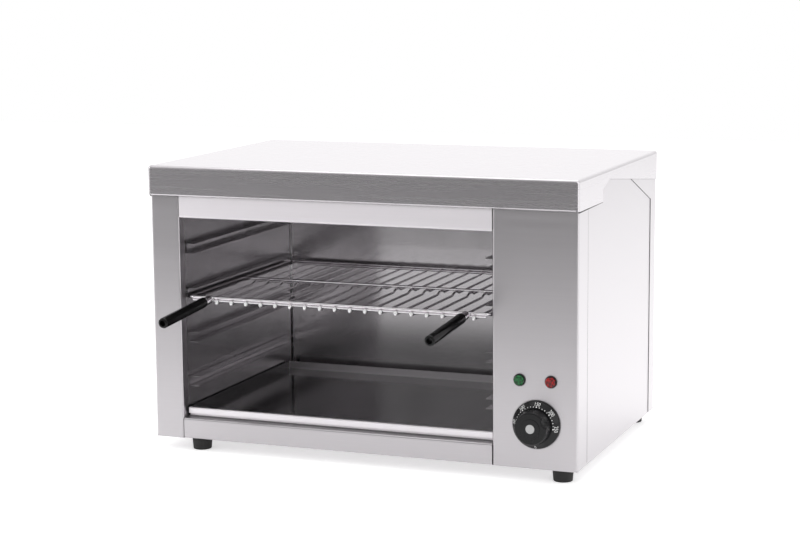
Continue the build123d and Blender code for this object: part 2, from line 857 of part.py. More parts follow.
def knob_cap():
    """Disc in the middle of the grip, with a shallow seat for the badge."""
    cap = rod_y(cap_radius, cap_front(), knob_front() + cap_recess, knob_x, knob_z)
    rim = cap.edges().filter_by(GeomType.CIRCLE).sort_by(Axis.Y)[0]
    cap = fillet(rim, cap_recess / 2)
    seat_radius = badge_radius + face_gap
    return cap - rod_y(seat_radius, cap_front(), cap_front() + badge_recess, knob_x, knob_z)


def knob_badge():
    """Bare metal disc in the cap."""
    back = cap_front() + badge_recess
    return rod_y(badge_radius, back - badge_thickness, back, knob_x, knob_z)


# ---------------------------------------------------------------- lamps
def lamp_lens(x):
    """Domed lens that shows through the bezel."""
    lens = rod_y(lens_radius, -lens_length, 0, x, lamp_z)
    rim = lens.edges().filter_by(GeomType.CIRCLE).sort_by(Axis.Y)[0]
    return fillet(rim, lens_dome)


def lamp_bezel(x):
    """Ring round the lens, seated on the panel."""
    ring = rod_y(bezel_radius, -bezel_thickness, 0, x, lamp_z)
    rim = ring.edges().filter_by(GeomType.CIRCLE).sort_by(Axis.Y)[0]
    ring = fillet(rim, bezel_lip)
    return ring - rod_y(lens_radius + face_gap, -bezel_thickness, 0, x, lamp_z)


def lamp_body(x):
    """Lamp housing behind the panel, with two blade terminals."""
    body = rod_y(lamp_body_radius, 0, lamp_body_length, x, lamp_z)
    for z in (lamp_z - lamp_body_radius / 2, lamp_z + lamp_body_radius / 2):
        x0 = x - tab_width / 2
        z0 = z - tab_thickness / 2
        end = lamp_body_length + tab_length
        body += slab(x0, x0 + tab_width, lamp_body_length, end, z0, z0 + tab_thickness)
    return body


def lamp_nut(x):
    """Nut that clamps the lamp to the back of the panel."""
    nut = hex_y(lamp_nut_radius * 2, sheet, sheet + lamp_nut_thickness, x, lamp_z)
    bore = lamp_body_radius + face_gap
    return nut - rod_y(bore, sheet, sheet + lamp_nut_thickness, x, lamp_z)


# ---------------------------------------------------------------- bulb and capillary
def capillary_turn_y():
    """Y of the capillary's run through the right liner wall."""
    return sheet + thermostat_depth + capillary_start_run


def capillary_tube():
    """From the thermostat up behind the panel and through the liner wall to the bulb."""
    turn_y = capillary_turn_y()
    points = [
        (knob_x, sheet + thermostat_depth, knob_z),
        (knob_x, turn_y, knob_z),
        (knob_x, turn_y, bulb_z),
        (bulb_x, turn_y, bulb_z),
        (bulb_x, turn_y + capillary_to_bulb, bulb_z),
    ]
    return wire_along(points, capillary_radius, capillary_bend)


def thermostat_bulb():
    """Sensing bulb along the right wall of the cavity."""
    start = capillary_turn_y() + capillary_to_bulb
    bulb = rod_y(bulb_radius, start, start + bulb_length, bulb_x, bulb_z)
    ends = bulb.edges().filter_by(GeomType.CIRCLE)
    return fillet(ends, capillary_radius)


def bulb_clips():
    """Two bent clips that hold the bulb to the wall."""
    start = capillary_turn_y() + capillary_to_bulb
    clips = []
    outer = bulb_radius + face_gap + clip_sheet
    for y in (start + clip_inset, start + bulb_length - clip_inset):
        front = y - clip_width / 2
        back = y + clip_width / 2
        ring = rod_y(outer, front, back, bulb_x, bulb_z)
        arm = slab(bulb_x, cavity_right, front, back, bulb_z + bulb_radius, bulb_z + outer)
        foot_top = bulb_z + outer + clip_foot
        foot_x = cavity_right - clip_sheet
        plate = slab(foot_x, cavity_right, front, back, bulb_z + bulb_radius, foot_top)
        bore = rod_y(bulb_radius + face_gap, front, back, bulb_x, bulb_z)
        clips.append(ring + arm + plate - bore)
    return clips


# ---------------------------------------------------------------- supply inlet
def cable_gland():
    """Gland body in the back panel, with a bore for the supply cord."""
    hex_end = body_depth + gland_hex_length
    end = hex_end + gland_dome_length
    thread_front = body_depth - sheet - gland_thread_length
    body = hex_y(gland_hex_flats, body_depth, hex_end, gland_x, gland_z)
    dome = rod_y(gland_dome_radius, hex_end, end, gland_x, gland_z)
    rim = dome.edges().filter_by(GeomType.CIRCLE).sort_by(Axis.Y)[-1]
    dome = fillet(rim, (gland_dome_radius - gland_bore_radius) / 2)
    thread = rod_y(gland_thread_radius, thread_front, body_depth, gland_x, gland_z)
    return body + dome + thread - rod_y(gland_bore_radius, thread_front, end, gland_x, gland_z)


def gland_nut():
    """Lock nut inside the back panel."""
    back = body_depth - sheet
    front = back - gland_nut_length
    nut = hex_y(gland_nut_flats, front, back, gland_x, gland_z)
    return nut - rod_y(gland_thread_radius + gland_fit, front, back, gland_x, gland_z)


def terminal_places():
    """X of the terminal screws."""
    pitch = terminal_block_width / terminal_count
    first = gland_x - terminal_block_width / 2 + pitch / 2
    return [first + index * pitch for index in range(terminal_count)]


def terminal_block():
    """Insulating block on the base pan, with a screw hole per pole."""
    back = body_depth - terminal_block_back_gap
    front = back - terminal_block_depth
    top = panel_z + terminal_block_height
    x0 = gland_x - terminal_block_width / 2
    block = slab(x0, x0 + terminal_block_width, front, back, panel_z, top)
    for x in terminal_places():
        y = (front + back) / 2
        block -= rod_z(terminal_hole_radius, top - terminal_hole_depth, top, x, y)
    return block


def terminal_screws():
    y = body_depth - terminal_block_back_gap - terminal_block_depth / 2
    bottom = panel_z + terminal_block_height - terminal_hole_depth
    top = bottom + terminal_screw_length
    return [rod_z(terminal_screw_radius, bottom, top, x, y) for x in terminal_places()]


def cover_screws():
    y = body_depth + cover_overhang_side
    return [pan_head_screw_y(x, y, z, 1) for x, z in cover_screw_places()]


def back_screws():
    return [pan_head_screw_y(x, body_depth, z, 1) for x, z in back_screw_places()]


# ---------------------------------------------------------------- write every node
def save_housing():
    save("base_pan", base_pan())
    save("left_side_panel", left_side_panel())
    save("right_side_panel", right_side_panel())
    save("control_panel", control_panel())
    save("upper_front_band", upper_front_band())
    save("back_panel", back_panel())
    save("top_cover", top_cover())
    for name, x, y in foot_places:
        save(f"foot_{name}", foot(x, y))
    save("foot_screws", *[foot_screw(x, y) for _, x, y in foot_places])
    save("foot_nuts", *[foot_nut(x, y) for _, x, y in foot_places])
    save("cover_screws", *cover_screws())
    save("back_panel_screws", *back_screws())


def save_cavity():
    save("cavity_floor", cavity_floor())
    save("cavity_left_wall", cavity_left_wall())
    save("cavity_right_wall", cavity_right_wall())
    save("cavity_back_wall", cavity_back_wall())
    save("cavity_ceiling", cavity_ceiling())
    for level in range(rail_count):
        save(f"left_rail_{level + 1}", rail(level, cavity_left, 1))
        save(f"right_rail_{level + 1}", rail(level, cavity_right, -1))
    save("front_heating_element", heating_element(element_first_leg))
    save("rear_heating_element", heating_element(element_first_leg + element_pair_pitch))
    save("element_terminal_pins", *element_pins())
    save("element_bushings", *element_bushings())
    save("element_hanger", element_hanger())


def save_rack_and_tray():
    save("rack_frame", rack_frame())
    save("rack_middle_wire", rack_middle_wire())
    lower_front = rack_lower_wire(rack_front, rack_half_width - frame_corner)
    lower_rear = rack_lower_wire(rack_rear, cavity_width / 2 - rail_depth - rail_tip_play)
    save("rack_lower_wires", lower_front, lower_rear)
    save("rack_bars", *rack_bars())
    save("rack_handle_left", rack_handle(-1))
    save("rack_handle_right", rack_handle(1))
    save("rack_handle_rods", rack_handle_rod(-1), rack_handle_rod(1))
    save("rack_handle_ferrules", rack_handle_ferrule(-1), rack_handle_ferrule(1))
    save("drip_tray", drip_tray())


def save_controls():
    save("knob", knob())
    save("knob_cap", knob_cap())
    save("knob_badge", knob_badge())
    save("thermostat_shaft", thermostat_shaft())
    save("thermostat_body", thermostat_body())
    save("thermostat_screws", *thermostat_screws())
    save("capillary_tube", capillary_tube())
    save("thermostat_bulb", thermostat_bulb())
    save("bulb_clips", *bulb_clips())
    lamps = (green_lamp_x, red_lamp_x)
    save("green_lamp_lens", lamp_lens(green_lamp_x))
    save("red_lamp_lens", lamp_lens(red_lamp_x))
    save("lamp_bezels", *[lamp_bezel(x) for x in lamps])
    save("lamp_bodies", *[lamp_body(x) for x in lamps])
    save("lamp_nuts", *[lamp_nut(x) for x in lamps])
    save("cable_gland", cable_gland())
    save("gland_nut", gland_nut())
    save("terminal_block", terminal_block())
    save("terminal_screws", *terminal_screws())


os.makedirs("parts", exist_ok=True)
save_housing()
save_cavity()
save_rack_and_tray()
save_controls()
print("origin shift along Y", round(origin_shift, 3))
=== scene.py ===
"""The looks of a counter-top cheese melter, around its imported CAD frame. Metres throughout."""
import math

import bpy
from mathutils import Matrix, Vector


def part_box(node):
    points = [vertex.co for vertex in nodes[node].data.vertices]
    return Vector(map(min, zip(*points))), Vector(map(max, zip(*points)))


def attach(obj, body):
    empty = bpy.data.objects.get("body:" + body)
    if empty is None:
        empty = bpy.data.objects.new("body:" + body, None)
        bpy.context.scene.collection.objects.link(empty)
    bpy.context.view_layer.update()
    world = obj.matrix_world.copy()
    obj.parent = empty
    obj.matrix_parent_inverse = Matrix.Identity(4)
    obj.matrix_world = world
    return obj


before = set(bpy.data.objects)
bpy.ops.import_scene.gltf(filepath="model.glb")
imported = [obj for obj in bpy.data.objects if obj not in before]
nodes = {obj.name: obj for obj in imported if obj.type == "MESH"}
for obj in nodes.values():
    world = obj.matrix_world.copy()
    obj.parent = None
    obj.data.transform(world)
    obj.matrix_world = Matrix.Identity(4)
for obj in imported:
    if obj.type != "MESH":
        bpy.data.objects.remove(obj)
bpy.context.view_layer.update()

MM = 0.001


# ---------------------------------------------------------------- camera
LENS_MM = 90.39
SENSOR_MM = 36.0
CAMERA_YAW = 0.3726          # radians, to the left of straight ahead
CAMERA_PITCH = 0.1553        # down
CAMERA_ROLL = -0.0081
CAMERA_FROM_CORNER = Vector((1.2933, -2.3862, 0.6541))   # from the body's front left bottom corner


def make_camera():
    """The photograph's viewpoint, solved from the straight edges of the box."""
    ahead = Vector((
        -math.sin(CAMERA_YAW) * math.cos(CAMERA_PITCH),
        math.cos(CAMERA_YAW) * math.cos(CAMERA_PITCH),
        -math.sin(CAMERA_PITCH),
    ))
    level_right = Vector((math.cos(CAMERA_YAW), math.sin(CAMERA_YAW), 0))
    level_up = level_right.cross(ahead)
    right = math.cos(CAMERA_ROLL) * level_right + math.sin(CAMERA_ROLL) * level_up
    up = math.cos(CAMERA_ROLL) * level_up - math.sin(CAMERA_ROLL) * level_right
    turn = Matrix((right, up, -ahead)).transposed().to_4x4()
    corner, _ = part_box("base_pan")
    data = bpy.data.cameras.new("camera")
    data.lens = LENS_MM
    data.sensor_width = SENSOR_MM
    camera = bpy.data.objects.new("camera", data)
    camera.matrix_world = Matrix.Translation(corner + CAMERA_FROM_CORNER) @ turn
    bpy.context.scene.collection.objects.link(camera)
    bpy.context.scene.camera = camera


# ---------------------------------------------------------------- node helpers
class Nodes:
    """Short calls for building a node tree."""

    def __init__(self, tree):
        self.tree = tree

    def node(self, kind, **settings):
        made = self.tree.nodes.new(kind)
        for key, value in settings.items():
            setattr(made, key, value)
        return made

    def link(self, output, socket):
        self.tree.links.new(output, socket)

    def split(self, vector):
        """The X, Y and Z outputs of a vector."""
        made = self.node("ShaderNodeSeparateXYZ")
        self.link(vector, made.inputs["Vector"])
        return made.outputs

    def ranged(self, value, low, high, start=0.0, end=1.0, smooth=False):
        """value from start..end mapped to low..high."""
        made = self.node("ShaderNodeMapRange")
        if smooth:
            made.interpolation_type = "SMOOTHSTEP"
        made.inputs["From Min"].default_value = start
        made.inputs["From Max"].default_value = end
        made.inputs["To Min"].default_value = low
        made.inputs["To Max"].default_value = high
        self.link(value, made.inputs["Value"])
        return made.outputs["Result"]

    def math(self, operation, first, second=None):
        """A maths node on outputs or plain numbers."""
        made = self.node("ShaderNodeMath", operation=operation)
        for socket, value in zip(made.inputs, (first, second)):
            if value is None:
                continue
            if isinstance(value, (int, float)):
                socket.default_value = value
            else:
                self.link(value, socket)
        return made.outputs["Value"]


class Shader(Nodes):
    """A material with a Principled surface."""

    def __init__(self, name):
        self.material = bpy.data.materials.new(name)
        self.material.use_nodes = True
        super().__init__(self.material.node_tree)
        self.surface = self.tree.nodes["Principled BSDF"]

    def set(self, **values):
        """Sets surface sockets by name, with _ for a space."""
        for key, value in values.items():
            self.surface.inputs[key.replace("_", " ")].default_value = value

    def feed(self, socket_name, output):
        self.link(output, self.surface.inputs[socket_name])

    def place(self):
        """Object coordinates, which are metres in the object's own frame."""
        return self.node("ShaderNodeTexCoord").outputs["Object"]

    def true_normal(self):
        """The X, Y and Z outputs of the face's own normal."""
        return self.split(self.node("ShaderNodeNewGeometry").outputs["True Normal"])

    def stretched(self, scale):
        """Object coordinates with a scale for each axis."""
        mapping = self.node("ShaderNodeMapping")
        mapping.inputs["Scale"].default_value = scale
        self.link(self.place(), mapping.inputs["Vector"])
        return mapping.outputs["Vector"]

    def noise(self, vector, scale=1.0, detail=3.0, roughness=0.55):
        made = self.node("ShaderNodeTexNoise")
        made.inputs["Scale"].default_value = scale
        made.inputs["Detail"].default_value = detail
        made.inputs["Roughness"].default_value = roughness
        self.link(vector, made.inputs["Vector"])
        return made.outputs["Fac"]

    def blend(self, factor, first, second):
        """A colour between first, at factor 0, and second, at factor 1."""
        made = self.node("ShaderNodeMix", data_type="RGBA")
        self.link(factor, made.inputs["Factor"])
        colour_inputs = [s for s in made.inputs if s.type == "RGBA"]
        for socket, value in zip(colour_inputs, (first, second)):
            if isinstance(value, tuple):
                socket.default_value = value
            else:
                self.link(value, socket)
        return [s for s in made.outputs if s.type == "RGBA"][0]

    def painted_crevice_shade(self, reach):
        """0 in tight corners and under edges, where shade is painted, 1 in the open."""
        made = self.node("ShaderNodeAmbientOcclusion", samples=8)
        made.inputs["Distance"].default_value = reach
        return self.ranged(made.outputs["AO"], 0.0, 1.0, CREVICE_FROM, CREVICE_TO)

    def bump(self, height, strength, distance):
        made = self.node("ShaderNodeBump")
        made.inputs["Strength"].default_value = strength
        made.inputs["Distance"].default_value = distance
        self.link(height, made.inputs["Height"])
        self.feed("Normal", made.outputs["Normal"])


# ---------------------------------------------------------------- materials
GRAIN_ALONG = 5.0            # noise cells per metre along the fine brush lines
GRAIN_ACROSS = 900.0         # and across them
STREAK_ALONG = 1.3           # the same for the broad streaks
STREAK_ACROSS = 70.0
FINE_SHARE = 0.6             # of fine lines and broad streaks in the finish
BROAD_SHARE = 0.4
LEVEL_FROM = 0.7             # a face is level when its normal's Z is past this, up or down
STEEL_TINT = (1.015, 0.975, 1.01)    # the faint lilac of the picture's steel
CAVITY_TINT = (1.01, 0.975, 1.005)
NO_TINT = (1.0, 1.0, 1.0)
# painted shade in tight corners and under edges: its reach, its colour, and the openness over
# which it fades
CREVICE_REACH = 5 * MM
CREVICE_SHADE = (0.05, 0.048, 0.05, 1.0)
CREVICE_FROM = 0.3           # openness that counts as a tight corner
CREVICE_TO = 0.8             # and as the open
WAVE_CELLS = (5.0, 5.0, 3.0)         # slow waves of rolled sheet, per metre
CAVITY_FILM_CELLS = 14.0             # smoke film, per metre
TRAY_FILM_CELLS = 7.0
FRONT_END_NORMAL = -0.8      # a face whose normal's Y is under this looks to the front
CUT_END_SHARE = 0.22         # of the sheet's tone, on its cut ends
TRAY_LIP_DEPTH = 5.5 * MM
TRAY_WALL_THICKNESS = 1.5 * MM


def brushing(shader):
    """Fine lines, broad streaks, and the direction across them, in which the brushing smears
    reflections. The lines are level on upright faces and run along X on level ones."""
    lies_flat = shader.math(
        "GREATER_THAN", shader.math("ABSOLUTE", shader.true_normal()["Z"]), LEVEL_FROM)
    stands = shader.math("SUBTRACT", 1.0, lies_flat)
    lines = []
    for along, over in ((GRAIN_ALONG, GRAIN_ACROSS), (STREAK_ALONG, STREAK_ACROSS)):
        on_upright = shader.noise(shader.stretched((along, along, over)))
        on_level = shader.noise(shader.stretched((along, over, along)))
        lines.append(shader.math(
            "ADD",
            shader.math("MULTIPLY", on_level, lies_flat),
            shader.math("MULTIPLY", on_upright, stands),
        ))
    across = shader.node("ShaderNodeCombineXYZ")
    shader.link(lies_flat, across.inputs["Y"])
    shader.link(stands, across.inputs["Z"])
    return lines[0], lines[1], across.outputs["Vector"]


def tinted(tone, tint=STEEL_TINT):
    return tuple(min(1.0, tone * share) for share in tint) + (1.0,)


def brushed_steel(name, tone, roughness, anisotropy=0.0, contrast=1.0, tint=STEEL_TINT):
    """Stainless sheet with a brushed finish, and painted shade in its tight corners and under
    its edges. tone is its reflectance, contrast the strength of the brush lines."""
    shader = Shader(name)
    fine, broad, across = brushing(shader)
    both = shader.math(
        "ADD",
        shader.math("MULTIPLY", fine, FINE_SHARE),
        shader.math("MULTIPLY", broad, BROAD_SHARE),
    )
    dark = tinted(tone * (1 - 0.08 * contrast), tint)
    light = tinted(tone * (1 + 0.05 * contrast), tint)
    unshaded_colour = shader.blend(both, dark, light)
    # painted shade: the base colour goes nearly black in tight corners and under edges
    unshaded_share = shader.painted_crevice_shade(CREVICE_REACH)
    shader.feed("Base Color", shader.blend(unshaded_share, CREVICE_SHADE, unshaded_colour))
    spread = 0.25 * roughness * contrast
    shader.feed("Roughness", shader.ranged(both, roughness - spread, roughness + spread))
    shader.set(Metallic=1.0, Anisotropic=anisotropy)
    shader.feed("Tangent", across)
    shader.bump(fine, 0.04 * contrast, 0.2 * MM)
    return shader.material


def mirror_steel(name, tone, roughness, anisotropy, waviness, dark_front_ends=False):
    """Bright rolled sheet inside the cavity: nearly a mirror, with slow waves and a thin film
    of smoke. Its last argument darkens the cut ends that face the front."""
    shader = Shader(name)
    across = brushing(shader)[2]
    wave = shader.noise(shader.stretched(WAVE_CELLS), 1.0, 2.0, 0.5)
    film = shader.noise(shader.place(), CAVITY_FILM_CELLS, 4.0, 0.6)
    colour = shader.blend(
        film, tinted(tone * 0.86, CAVITY_TINT), tinted(tone * 1.1, CAVITY_TINT))
    if dark_front_ends:
        is_end = shader.math("LESS_THAN", shader.true_normal()["Y"], FRONT_END_NORMAL)
        colour = shader.blend(is_end, colour, tinted(tone * CUT_END_SHARE, CAVITY_TINT))
    shader.feed("Base Color", colour)
    shader.feed("Roughness", shader.ranged(film, roughness * 0.8, roughness * 1.25))
    shader.set(Metallic=1.0, Anisotropic=anisotropy)
    shader.feed("Tangent", across)
    shader.bump(wave, waviness, 4 * MM)
    return shader.material


def tray_steel():
    """The drip tray: dark mirror on its floor, brushed on its rear wall and turned-over lip."""
    shader = Shader("tray_steel")
    low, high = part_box("drip_tray")
    depth = shader.split(shader.place())["Y"]
    lip_back = low.y + TRAY_LIP_DEPTH
    wall_front = high.y - TRAY_WALL_THICKNESS
    behind_lip = shader.ranged(depth, 0.0, 1.0, lip_back, lip_back + 1 * MM)
    before_wall = shader.ranged(depth, 1.0, 0.0, wall_front, wall_front + 0.3 * MM)
    inside = shader.math("MULTIPLY", behind_lip, before_wall)
    film = shader.noise(shader.place(), TRAY_FILM_CELLS, 4.0, 0.6)
    floor_tone = shader.blend(film, tinted(0.08, CAVITY_TINT), tinted(0.13, CAVITY_TINT))
    shader.feed("Base Color", shader.blend(inside, tinted(0.86), floor_tone))
    polish = shader.ranged(film, 0.09, 0.16)
    shader.feed("Roughness", shader.math("ADD", polish, shader.ranged(inside, 0.28, 0.0)))
    shader.set(Metallic=1.0)
    shader.bump(film, 0.03, 0.6 * MM)
    return shader.material


def chrome():
    """Bright plated wire, a little uneven."""
    shader = Shader("rack_chrome")
    ripple = shader.noise(shader.place(), 260.0, 3.0, 0.6)
    shader.feed("Base Color", shader.blend(ripple, tinted(0.7), tinted(0.95)))
    shader.feed("Roughness", shader.ranged(ripple, 0.05, 0.14))
    shader.set(Metallic=1.0)
    shader.bump(ripple, 0.2, 0.3 * MM)
    return shader.material


def plated(name, dark, light, roughness):
    """Small metal parts: zinc, copper, brass, element sheath, spun disc."""
    shader = Shader(name)
    cloud = shader.noise(shader.place(), 400.0, 4.0, 0.6)
    shader.feed("Base Color", shader.blend(cloud, dark + (1.0,), light + (1.0,)))
    shader.feed("Roughness", shader.ranged(cloud, roughness - 0.07, roughness + 0.07))
    shader.set(Metallic=1.0)
    shader.bump(cloud, 0.1, 0.2 * MM)
    return shader.material


def plastic(name, dark, light, roughness, coat=0.0, pebble=0.08, specular=0.5):
    """Moulded plastic with a faint pebbled skin."""
    shader = Shader(name)
    skin = shader.noise(shader.place(), 900.0, 3.0, 0.5)
    cloud = shader.noise(shader.place(), 35.0, 3.0, 0.5)
    shader.feed("Base Color", shader.blend(cloud, dark + (1.0,), light + (1.0,)))
    shader.feed("Roughness", shader.ranged(cloud, roughness - 0.04, roughness + 0.05))
    shader.set(Coat_Weight=coat, Coat_Roughness=0.06, Specular_IOR_Level=specular)
    shader.bump(skin, pebble, 0.1 * MM)
    return shader.material


def lens(name, deep, bright):
    """Tinted lamp lens with a cut pattern inside."""
    shader = Shader(name)
    cells = shader.node("ShaderNodeTexVoronoi", feature="F1")
    cells.inputs["Scale"].default_value = 420.0
    shader.link(shader.place(), cells.inputs["Vector"])
    facet = shader.ranged(cells.outputs["Distance"], 0.0, 1.0, 0.1, 0.8)
    shader.feed("Base Color", shader.blend(facet, bright + (1.0,), deep + (1.0,)))
    shader.set(Roughness=0.12, Specular_IOR_Level=0.35, Coat_Weight=0.2, Coat_Roughness=0.04)
    shader.bump(facet, 0.25, 0.4 * MM)
    return shader.material


def rubber():
    """Dusty black rubber."""
    shader = Shader("foot_rubber")
    dust = shader.noise(shader.place(), 260.0, 4.0, 0.6)
    shader.feed("Base Color", shader.blend(
        dust, (0.008, 0.008, 0.008, 1), (0.022, 0.021, 0.021, 1)))
    shader.feed("Roughness", shader.ranged(dust, 0.55, 0.75))
    shader.bump(dust, 0.25, 0.3 * MM)
    return shader.material


def print_white():
    """Screen-printed marks on the dial."""
    shader = Shader("dial_print")
    wear = shader.noise(shader.place(), 1500.0, 3.0, 0.6)
    shader.feed("Base Color", shader.blend(wear, (0.8, 0.8, 0.79, 1), (0.97, 0.97, 0.96, 1)))
    shader.set(Roughness=0.5)
    return shader.material


HOUSING = ("left_side_panel", "right_side_panel", "control_panel", "back_panel", "base_pan")
LINER = ("cavity_floor", "cavity_left_wall", "cavity_right_wall", "cavity_ceiling",
         "element_hanger")
RACK = ("rack_frame", "rack_middle_wire", "rack_lower_wires", "rack_bars", "rack_handle_rods",
        "rack_handle_ferrules")
SCREWS = ("thermostat_shaft", "thermostat_screws", "foot_screws", "foot_nuts", "cover_screws",
          "back_panel_screws", "terminal_screws", "bulb_clips", "element_terminal_pins")
FITTINGS = ("lamp_bodies", "lamp_nuts", "thermostat_body", "terminal_block")
RAILS = tuple(name for name in sorted(nodes) if "_rail_" in name)
FEET = ("foot_front_left", "foot_front_right", "foot_rear_left", "foot_rear_right")
ELEMENTS = ("front_heating_element", "rear_heating_element", "thermostat_bulb")


def assign(material, *names):
    """Gives CAD nodes a material in place of their plain one."""
    for name in names:
        slots = nodes[name].data.materials
        slots.clear()
        slots.append(material)


def dress_steel():
    """The finish of every sheet and wire of the CAD model."""
    assign(brushed_steel("housing_steel", 0.58, 0.3, anisotropy=0.6, contrast=0.7), *HOUSING)
    assign(brushed_steel("cover_steel", 0.64, 0.27, anisotropy=0.5, contrast=0.35), "top_cover")
    # partly a rougher finish, partly painted light: the band's tone is raised well past the
    # housing steel's to brighten it
    assign(brushed_steel("band_steel_lit_copy", 0.89, 0.55, anisotropy=0.3, contrast=0.7),
           "upper_front_band")
    assign(mirror_steel("cavity_steel", 0.5, 0.2, anisotropy=0.7, waviness=0.15), *LINER)
    assign(mirror_steel("rear_wall_steel", 0.56, 0.17, anisotropy=0.9, waviness=0.08),
           "cavity_back_wall")
    assign(mirror_steel("rail_steel", 0.6, 0.2, anisotropy=0.0, waviness=0.1, dark_front_ends=True),
           *RAILS)
    assign(tray_steel(), "drip_tray")
    assign(chrome(), *RACK)


def dress_fittings():
    """The finish of every other CAD node."""
    handle = plastic("handle_plastic", (0.0015,) * 3, (0.003,) * 3, 0.16, coat=0.1, pebble=0.03,
                     specular=0.22)
    knob = plastic("knob_plastic", (0.004, 0.004, 0.0045), (0.008, 0.008, 0.009), 0.26, coat=0.1,
                   specular=0.25)
    bezel = plastic("bezel_plastic", (0.004,) * 3, (0.008,) * 3, 0.3, coat=0.1, specular=0.3)
    fitting = plastic("fitting_plastic", (0.03,) * 3, (0.05,) * 3, 0.5)
    gland = plastic("gland_plastic", (0.015,) * 3, (0.03,) * 3, 0.45)
    assign(handle, "rack_handle_left", "rack_handle_right")
    assign(knob, "knob", "knob_cap")
    assign(bezel, "lamp_bezels")
    assign(fitting, *FITTINGS)
    assign(gland, "cable_gland", "gland_nut")
    assign(lens("green_lens", (0.001, 0.03, 0.007), (0.004, 0.2, 0.04)), "green_lamp_lens")
    assign(lens("red_lens", (0.07, 0.001, 0.002), (0.5, 0.006, 0.006)), "red_lamp_lens")
    assign(plated("zinc_steel", (0.5,) * 3, (0.66,) * 3, 0.35), *SCREWS)
    assign(plated("knob_cap_metal", (0.42,) * 3, (0.52,) * 3, 0.34), "knob_badge")
    assign(plated("element_metal", (0.12, 0.115, 0.11), (0.24, 0.23, 0.21), 0.45), *ELEMENTS)
    assign(plated("copper", (0.55, 0.26, 0.16), (0.7, 0.36, 0.24), 0.35), "capillary_tube")
    assign(plated("brass", (0.6, 0.45, 0.2), (0.72, 0.56, 0.28), 0.32), "element_bushings")
    assign(rubber(), *FEET)


# ---------------------------------------------------------------- dial marks
DIAL_NUMBERS = ("50", "100", "150", "200", "250")
FIRST_NUMBER_AT = 174.0      # degrees, counter-clockwise from the +X side, seen from the front
NUMBER_STEP = 45.0
DOTS_PER_STEP = 5
ZERO_AT = -89.0
CAPITAL_SHARE = 0.7          # of a font's size, the height of its figures
DOT_SIDES = 10
NUMBER_HEIGHT = 3.9 * MM
NUMBER_RADIUS = 27.9 * MM
DOT_RADIUS_ON_DIAL = 24.95 * MM
DOT_SIZE = 0.55 * MM
BIG_DOT_SIZE = 0.8 * MM
DIAL_RIM = 31.25 * MM        # radius of the dial's outer edge
SKIRT_TOP = 24.0 * MM        # radius where the cone meets the grip
RIM_SETBACK = 24.0 * MM      # from the grip's front face back to the dial's rim
SKIRT_SETBACK = 17.0 * MM    # and back to the cone's inner edge
PRINT_LIFT = 0.06 * MM


def dial_point(angle, radius, lift):
    """A point of the conical dial, at an angle in degrees and a radius from the knob's axis."""
    low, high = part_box("knob")
    middle_x = (low.x + high.x) / 2
    middle_z = (low.z + high.z) / 2
    front = low.y
    slope = (SKIRT_SETBACK - RIM_SETBACK) / (SKIRT_TOP - DIAL_RIM)
    setback = RIM_SETBACK + slope * (radius - DIAL_RIM)
    turn = math.radians(angle)
    return Vector((
        middle_x + radius * math.cos(turn),
        front + setback - lift,
        middle_z + radius * math.sin(turn),
    ))


def dial_text(body, angle):
    """A number wrapped on the dial, its top outward, as (points, faces)."""
    curve = bpy.data.curves.new("number", "FONT")
    curve.body = body
    curve.size = NUMBER_HEIGHT / CAPITAL_SHARE
    curve.align_x = "CENTER"
    curve.align_y = "CENTER"
    curve.resolution_u = 4
    holder = bpy.data.objects.new("number", curve)
    bpy.context.scene.collection.objects.link(holder)
    bpy.context.view_layer.update()
    graph = bpy.context.evaluated_depsgraph_get()
    mesh = bpy.data.meshes.new_from_object(holder.evaluated_get(graph))
    points = []
    for vertex in mesh.vertices:
        turned = angle - math.degrees(vertex.co.x / NUMBER_RADIUS)
        points.append(dial_point(turned, NUMBER_RADIUS + vertex.co.y, PRINT_LIFT))
    faces = [tuple(p.vertices) for p in mesh.polygons]
    bpy.data.objects.remove(holder)
    bpy.data.meshes.remove(mesh)
    return points, faces


def dial_dot(angle, size):
    """A round printed dot on the dial."""
    points = []
    for index in range(DOT_SIDES):
        turn = 2 * math.pi * index / DOT_SIDES
        along = size * math.cos(turn)
        out = size * math.sin(turn)
        radius = DOT_RADIUS_ON_DIAL + out
        points.append(dial_point(angle - math.degrees(along / radius), radius, PRINT_LIFT))
    return points, [tuple(range(DOT_SIDES))]


def make_dial_print():
    """All numbers and dots as one printed layer that turns with the knob."""
    parts = []
    for index, number in enumerate(DIAL_NUMBERS):
        parts.append(dial_text(number, FIRST_NUMBER_AT - index * NUMBER_STEP))
    parts.append(dial_text("0", ZERO_AT))
    for index in range((len(DIAL_NUMBERS) - 1) * DOTS_PER_STEP + 1):
        size = BIG_DOT_SIZE if index % DOTS_PER_STEP == 0 else DOT_SIZE
        parts.append(dial_dot(FIRST_NUMBER_AT - index * NUMBER_STEP / DOTS_PER_STEP, size))
    add_piece("dial_print", *joined(parts), print_white(), "thermostat_knob", "knob_cap_metal")


# ---------------------------------------------------------------- small steel pieces
def add_piece(name, points, faces, material, body, slot):
    """A mesh piece that rides a body, in the given material. Its slot is not used."""
    mesh = bpy.data.meshes.new(name)
    mesh.from_pydata([tuple(p) for p in points], [], faces)
    mesh.materials.append(material)
    piece = bpy.data.objects.new(name, mesh)
    bpy.context.scene.collection.objects.link(piece)
    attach(piece, body)
    return piece


def round_off(piece):
    """Shades a piece's facets as one round surface."""
    for polygon in piece.data.polygons:
        polygon.use_smooth = True


